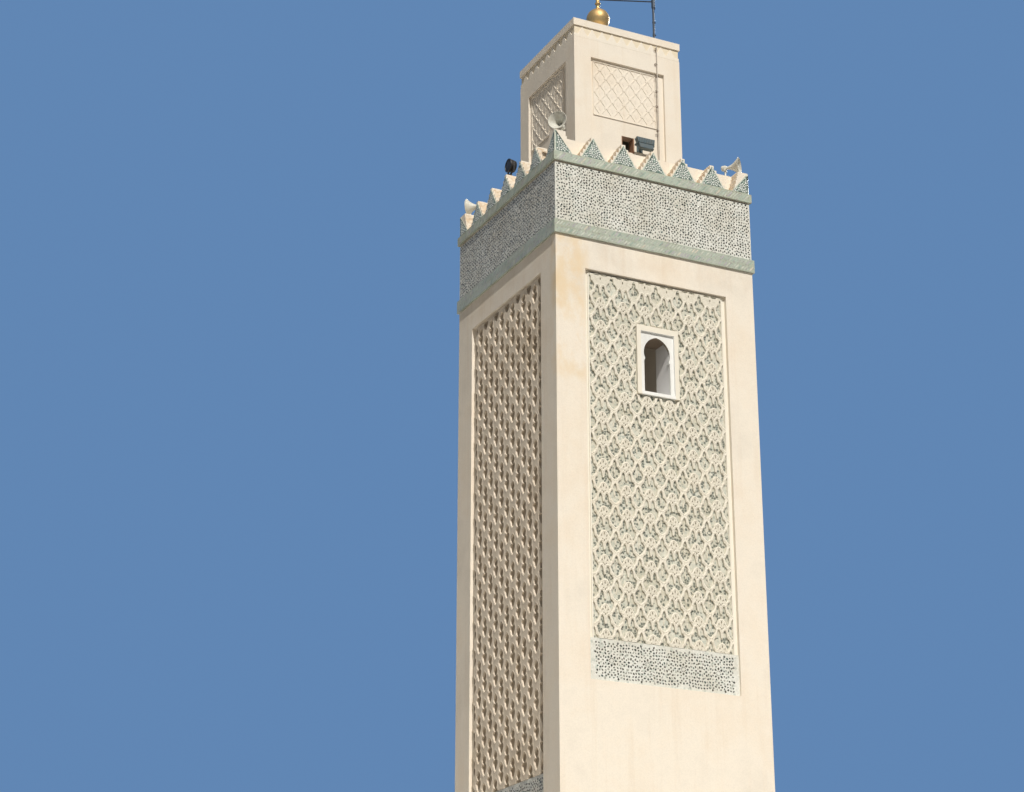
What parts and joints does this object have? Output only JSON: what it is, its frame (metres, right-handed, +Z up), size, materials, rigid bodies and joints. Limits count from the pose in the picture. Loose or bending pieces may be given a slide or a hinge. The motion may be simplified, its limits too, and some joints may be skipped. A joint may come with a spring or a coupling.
{
  "type": "minaret",
  "caption": "Square plastered tower with carved net panels, a mosaic crown with a stepped parapet, and a domed lantern with a brass finial.",
  "frame": {"origin": "middle of the base, at ground level", "axes": "+Z up; the windowed front faces -Y, the side with the parapet lamp faces -X"},
  "size_m": [5.6, 5.6, 33.33],
  "materials": {
    "plaster": "rough",
    "carved_plaster": "rough",
    "mosaic": "glazed",
    "white_plaster": "matte",
    "concrete": "rough",
    "brass": "satin",
    "dark_metal": "matte",
    "horn_white": "satin",
    "lamp_grey": "satin",
    "timber": "matte"
  },
  "bodies": {
    "root": {"back_mosaic_band": "mosaic", "back_mosaic_strip": "mosaic", "back_net_panel": "carved_plaster", "back_parapet": "plaster", "back_wall": "plaster", "back_window_surround": "white_plaster", "door_leaf": "timber", "door_surround": "plaster", "finial": "brass", "floodlight": "lamp_grey", "front_mosaic_band": "mosaic", "front_mosaic_strip": "mosaic", "front_net_panel": "carved_plaster", "front_parapet": "plaster", "front_wall": "plaster", "front_window_surround": "white_plaster", "gallery_floor": "concrete", "ground_floor": "concrete", "horn_far_left": "horn_white", "horn_far_right": "horn_white", "horn_near_left": "horn_white", "horn_near_right": "horn_white", "lantern_back_lattice": "carved_plaster", "lantern_back_wall": "plaster", "lantern_cable": "dark_metal", "lantern_dome": "plaster", "lantern_front_lattice": "carved_plaster", "lantern_front_wall": "plaster", "lantern_left_lattice": "carved_plaster", "lantern_left_wall": "plaster", "lantern_right_lattice": "carved_plaster", "lantern_right_wall": "plaster", "lantern_roof": "plaster", "left_mosaic_band": "mosaic", "left_mosaic_strip": "mosaic", "left_net_panel": "carved_plaster", "left_parapet": "plaster", "left_wall": "plaster", "parapet_lamp": "dark_metal", "right_mosaic_band": "mosaic", "right_mosaic_strip": "mosaic", "right_net_panel": "carved_plaster", "right_parapet": "plaster", "right_wall": "plaster", "signal_mast": "dark_metal"}
  },
  "joints": []
}
